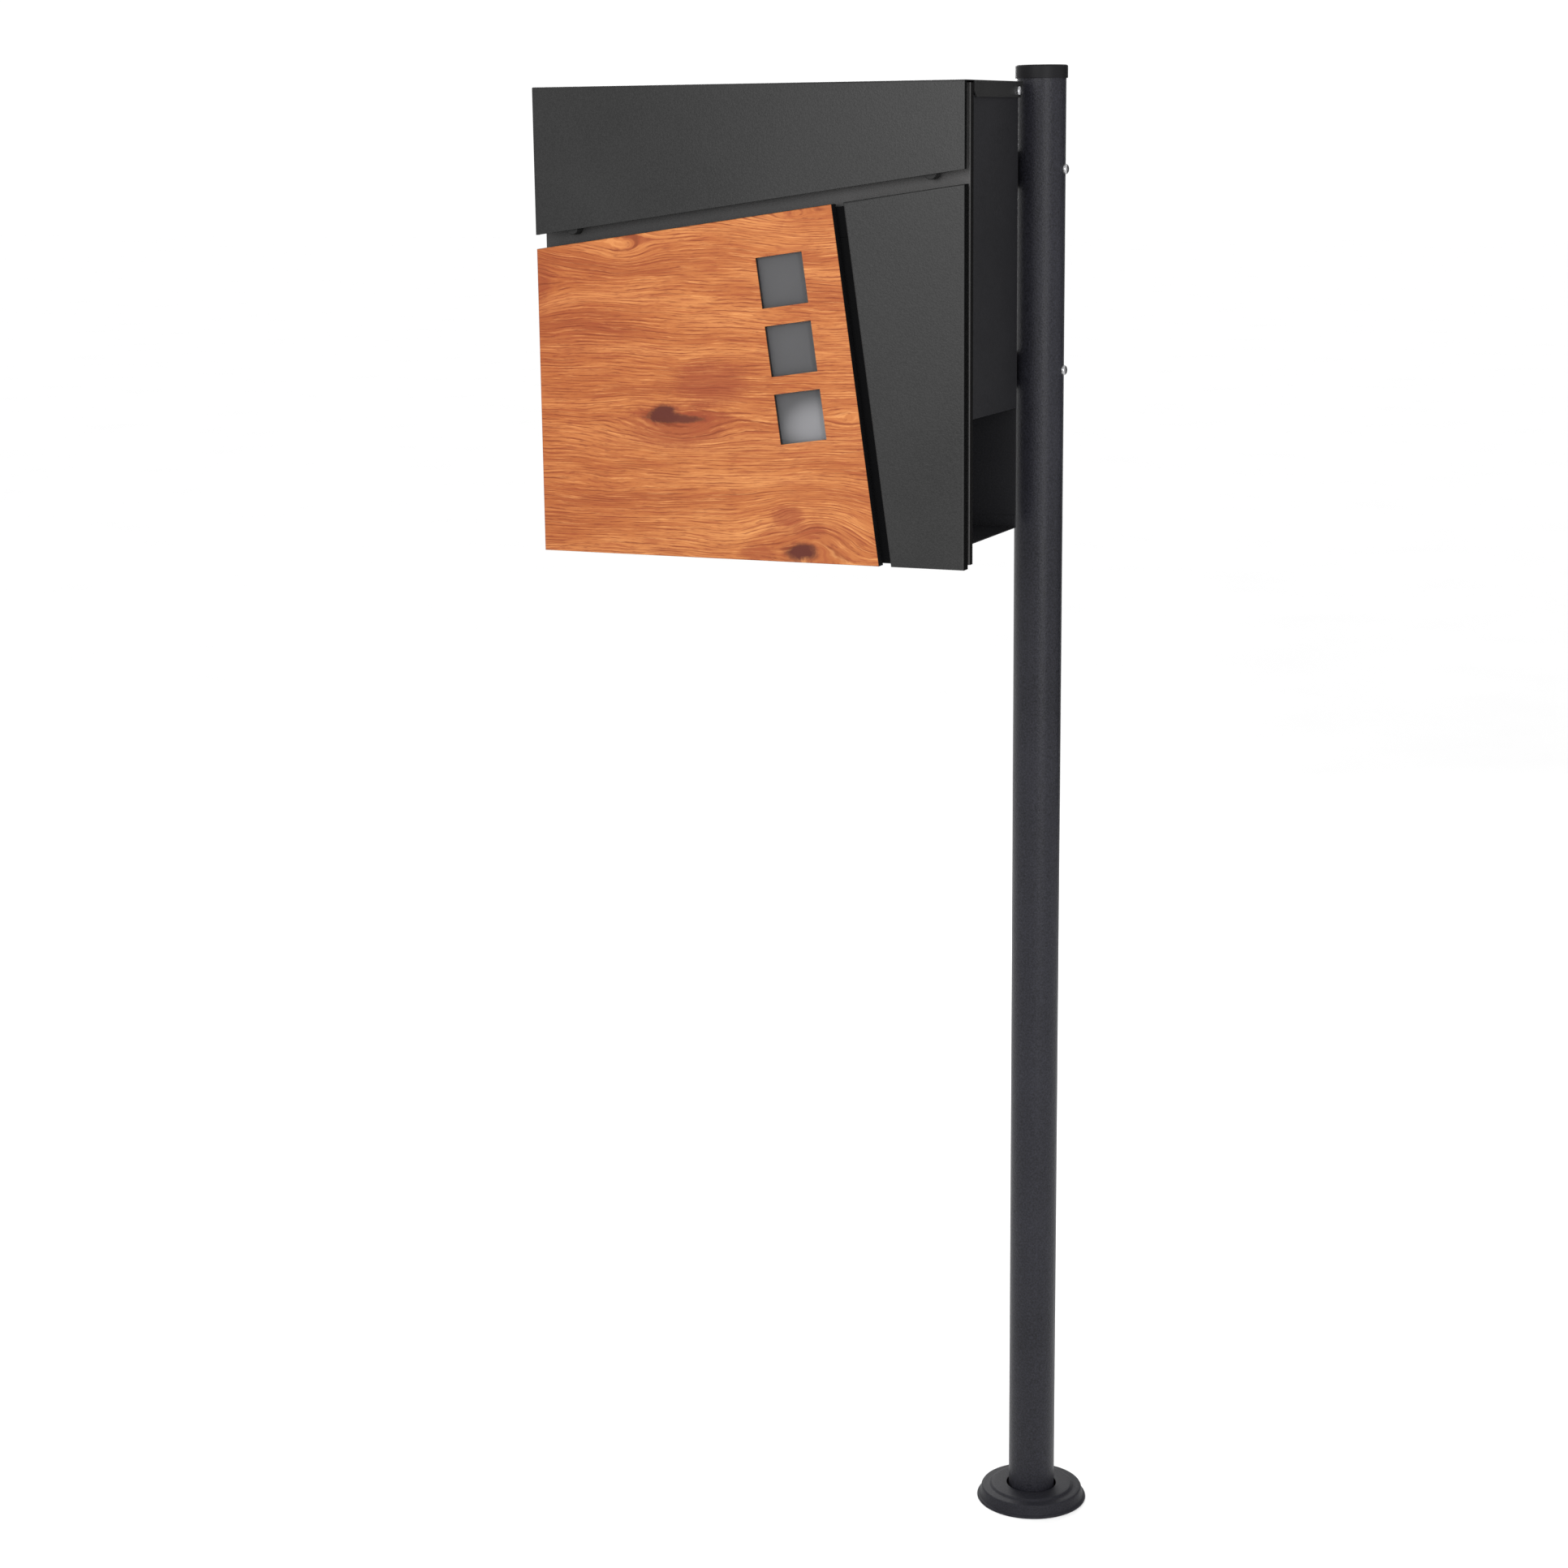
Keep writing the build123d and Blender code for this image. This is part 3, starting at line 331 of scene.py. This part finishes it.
    # Painted shade: behind the film the returns and window cut edges take the near-black edge colour.
    film_end = face_y + film_thickness
    film = s.smooth(y, film_end - 0.0001, film_end + 0.0001, 1.0, 0.0)
    s.set(Base_Color=s.mix(film, edge_painted_shade, base))
    s.set(Roughness=s.smooth(pores, 0.3, 0.7, 0.52, 0.62), Specular_IOR_Level=0.16)
    s.bump(s.math("ADD", pores, streaks), 0.10, 0.0002)
    return s.material


def frosted_acrylic():
    """Smoke-grey frosted acrylic that lets some light through, with a painted pool of light in the lowest
    window.
    """
    painted_light_u, painted_light_w = 0.246, 0.108
    painted_light_length, painted_light_height = 0.024, 0.018
    painted_light_grey = (0.62, 0.62, 0.64)
    glow_tint = (0.8, 0.8, 0.83, 1.0)
    glow_share = 0.5
    grain_scale = 2600.0
    cloud_scale = 14.0
    s = Shader("frosted_acrylic")
    grain = s.noise(s.place, grain_scale, 2.0, 0.6)
    cloud = s.noise(s.place, cloud_scale, 2.0, 0.5)
    x, _, z = s.split(s.place)
    u = s.math("SUBTRACT", x, box_left)
    w = s.math("SUBTRACT", z, box_bottom)
    # Painted light: a pale patch at the lowest window's lower right stands in for light from the newspaper
    # compartment.
    painted_light_reach = s.oval(u, w, painted_light_u, painted_light_w, painted_light_length, painted_light_height)
    grey = s.ramp(grain, [(0.3, (0.090, 0.090, 0.093)), (0.7, (0.128, 0.128, 0.132))])
    s.set(Base_Color=s.mix(s.smooth(painted_light_reach, 2.2, 0.0, 0.0, 0.38), grey, painted_light_grey))
    s.set(Roughness=s.smooth(cloud, 0.3, 0.7, 0.42, 0.5), Specular_IOR_Level=0.4)
    s.bump(grain, 0.15, 0.0001)
    glow = s.tree.nodes.new("ShaderNodeBsdfTranslucent")
    glow.inputs["Color"].default_value = glow_tint
    blend = s.tree.nodes.new("ShaderNodeMixShader")
    blend.inputs[0].default_value = glow_share
    s.join(s.bsdf.outputs[0], blend.inputs[1])
    s.join(glow.outputs[0], blend.inputs[2])
    s.join(blend.outputs[0], s.out.inputs[0])
    return s.material


# ---------------------------------------------------------------- finishes
powder_coats = {
    "fascia_paint": {
        "colour": (0.012, 0.012, 0.012),
        "rough": 0.44,
        "grain": 750.0,
        "depth": 0.5,
        "level": 0.285,
        "speckle": 0.5,
        "dark_returns": True,
    },
    # The cabinet paint is darker and duller than the fascia paint: partly the cabinet's own paint, partly
    # painted shade on the side walls.
    "cabinet_paint": {
        "colour": (0.009, 0.009, 0.0105),
        "rough": 0.50,
        "grain": 800.0,
        "depth": 0.35,
        "level": 0.24,
        "speckle": 0.4,
    },
    # The front frame gets a lighter, shinier copy of the paint: painted light on the recessed strip between
    # the flap and the panels.
    "frame_paint": {
        "colour": (0.030, 0.029, 0.029),
        "rough": 0.44,
        "grain": 1100.0,
        "depth": 0.3,
        "level": 0.36,
        "speckle": 0.3,
        "dark_returns": True,
    },
    # The door plate gets a near-black, dull copy of the paint: painted shade in the deep gaps between the
    # panels.
    "inner_paint": {
        "colour": (0.003, 0.003, 0.0034),
        "rough": 0.6,
        "grain": 1100.0,
        "depth": 0.2,
        "level": 0.04,
    },
    "pole_paint": {
        "colour": (0.0135, 0.0135, 0.018),
        "rough": 0.40,
        "grain": 700.0,
        "depth": 1.0,
        "level": 0.19,
        "speckle": 0.7,
    },
    "cover_paint": {
        "colour": (0.0135, 0.0135, 0.017),
        "rough": 0.5,
        "grain": 950.0,
        "depth": 0.7,
        "level": 0.10,
        "speckle": 0.55,
    },
}
metals = {
    "zinc_steel": {"colour": (0.56, 0.57, 0.58), "rough": 0.34, "streak": (1.0, 6.0, 1.0)},
    "bright_steel": {"colour": (0.42, 0.42, 0.43), "rough": 0.24, "streak": (6.0, 1.0, 1.0)},
    "lock_chrome": {"colour": (0.80, 0.80, 0.82), "rough": 0.12, "streak": (1.0, 1.0, 5.0)},
}
mouldings = {
    "black_rubber": {"colour": (0.012, 0.012, 0.012), "rough": 0.7, "depth": 0.2},
    "cap_plastic": {"colour": (0.006, 0.006, 0.007), "rough": 0.5, "depth": 0.25, "level": 0.14},
    "black_nylon": {"colour": (0.014, 0.014, 0.015), "rough": 0.55, "depth": 0.12},
    "white_nylon": {"colour": (0.62, 0.62, 0.58), "rough": 0.5, "depth": 0.12},
}
finishes = {
    "wood_film": wood_film(edge_painted_shade=(0.004, 0.004, 0.0045)),
    "frosted_acrylic": frosted_acrylic(),
}
for make, values_of in ((powder_coat, powder_coats), (worked_metal, metals), (moulded, mouldings)):
    for name, values in values_of.items():
        finishes[name] = make(name, **values)

slot_of = {part["node"]: part["material_slot"] for part in frame["record"]["subparts"]}
# Pieces whose finish differs from the rest of their slot; the front frame's lighter paint is painted light
# and the door plate's near-black paint is painted shade.
own_finish = {"door_plate": "inner_paint", "front_frame": "frame_paint", "base_cover": "cover_paint"}

# Edges are rounded by this much, in metres, except where a piece has its own value or none.
sheet_edge = 0.00022
edge_rounding = {
    "pole": 0.0002,
    "pole_cap": 0.0,
    "hinge_pins": 0.0,
    "panel_studs": 0.0,
    "lock_plug": 0.0,
    "base_cover": 0.0004,
    "lock_keeper": 0.0002,
}
weld_distance = 0.00001
rounded_angle = math.radians(40)

for name, node in nodes.items():
    finish = finishes[own_finish.get(name, slot_of[name])]
    node.data.materials.clear()
    node.data.materials.append(finish)
    weld = node.modifiers.new("weld", "WELD")
    weld.merge_threshold = weld_distance
    rounding = edge_rounding.get(name, sheet_edge)
    if rounding:
        bevel = node.modifiers.new("bevel", "BEVEL")
        bevel.width = rounding
        bevel.segments = 2
        bevel.limit_method = "ANGLE"
        bevel.angle_limit = rounded_angle
        bevel.use_clamp_overlap = True
    normals = node.modifiers.new("normals", "WEIGHTED_NORMAL")
    normals.keep_sharp = True

# ---------------------------------------------------------------- floor and light
floor_size = 60.0
floor_gap = 0.0002
world_strength = 1.06


def backdrop(name, low, high, scale, detail):
    """Plain grey studio surface that varies a little between two tones."""
    s = Shader(name)
    tone = s.noise(s.place, scale, detail, 0.5)
    s.set(Base_Color=s.ramp(tone, [(0.3, (low, low, low)), (0.7, (high, high, high))]))
    return s


floor_shader = backdrop("studio_floor", low=0.94, high=0.96, scale=3.0, detail=4.0)
floor_shader.set(Roughness=0.9, Specular_IOR_Level=0.1)
bpy.ops.mesh.primitive_plane_add(size=floor_size, location=(0.0, 0.0, -floor_gap))
floor = bpy.context.object
floor.name = "studio_floor"
floor.data.materials.append(floor_shader.material)

world = bpy.data.worlds.new("studio")
bpy.context.scene.world = world
world.use_nodes = True
world.node_tree.nodes["Background"].inputs["Color"].default_value = (1.0, 1.0, 1.0, 1.0)
world.node_tree.nodes["Background"].inputs["Strength"].default_value = world_strength


def softbox(name, place, target, width, height, power):
    """Soft area light aimed at a target."""
    light = bpy.data.lights.new(name, "AREA")
    light.shape = "RECTANGLE"
    light.size = width
    light.size_y = height
    light.energy = power
    lamp = bpy.data.objects.new(name, light)
    bpy.context.scene.collection.objects.link(lamp)
    direction = Vector(target) - Vector(place)
    lamp.location = place
    lamp.rotation_euler = direction.to_track_quat("-Z", "Y").to_euler()
    lamp.visible_camera = False


softbox("key", (-0.19, -1.2, 1.30), target=(-0.08, -0.15, 1.08), width=0.42, height=0.5, power=5.4)
softbox("pole_strip", (1.0, -1.15, 1.05), target=(0.0, 0.0, 0.95), width=0.16, height=1.3, power=11.0)
softbox("rear_fill", (-1.3, 1.9, 1.7), target=(-0.15, 0.0, 0.9), width=1.2, height=1.2, power=30.0)

# A black card behind the right side keeps the studio's glare off the cabinet's side.
card_place = (0.62, 0.95, 1.0)
card_width = 1.1
card_height = 1.5
card_turn = math.radians(-32)
bpy.ops.mesh.primitive_plane_add(size=1.0, location=card_place)
card = bpy.context.object
card.name = "black_card"
card.scale = (card_width, card_height, 1.0)
card.rotation_euler = (math.radians(90), 0.0, card_turn)
card.visible_camera = False
card.data.materials.append(backdrop("black_card", low=0.03, high=0.05, scale=5.0, detail=2.0).material)

# ---------------------------------------------------------------- camera
camera_place = (0.7811, -2.3316, 1.1883)
camera_yaw = math.radians(23.498)
camera_pitch = math.radians(12.36)
camera_roll = math.radians(-0.644)
camera_lens = 68.13
camera_sensor = 36.0


def aimed(yaw, pitch, roll):
    """Rotation of a camera from its yaw, downward pitch and roll."""
    forward = Vector(
        (
            -math.sin(yaw) * math.cos(pitch),
            math.cos(yaw) * math.cos(pitch),
            -math.sin(pitch),
        )
    )
    right = Vector((math.cos(yaw), math.sin(yaw), 0.0))
    up = right.cross(forward)
    tilted_right = math.cos(roll) * right + math.sin(roll) * up
    tilted_up = -math.sin(roll) * right + math.cos(roll) * up
    return Matrix((tilted_right, tilted_up, -forward)).transposed()


camera_data = bpy.data.cameras.new("camera")
camera_data.lens = camera_lens
camera_data.sensor_width = camera_sensor
camera_data.clip_start = 0.01
camera_data.clip_end = 200.0
camera = bpy.data.objects.new("camera", camera_data)
bpy.context.scene.collection.objects.link(camera)
camera.matrix_world = Matrix.Translation(camera_place) @ aimed(camera_yaw, camera_pitch, camera_roll).to_4x4()
bpy.context.scene.camera = camera
bpy.context.scene.view_settings.view_transform = "Standard"
bpy.context.scene.view_settings.look = "None"
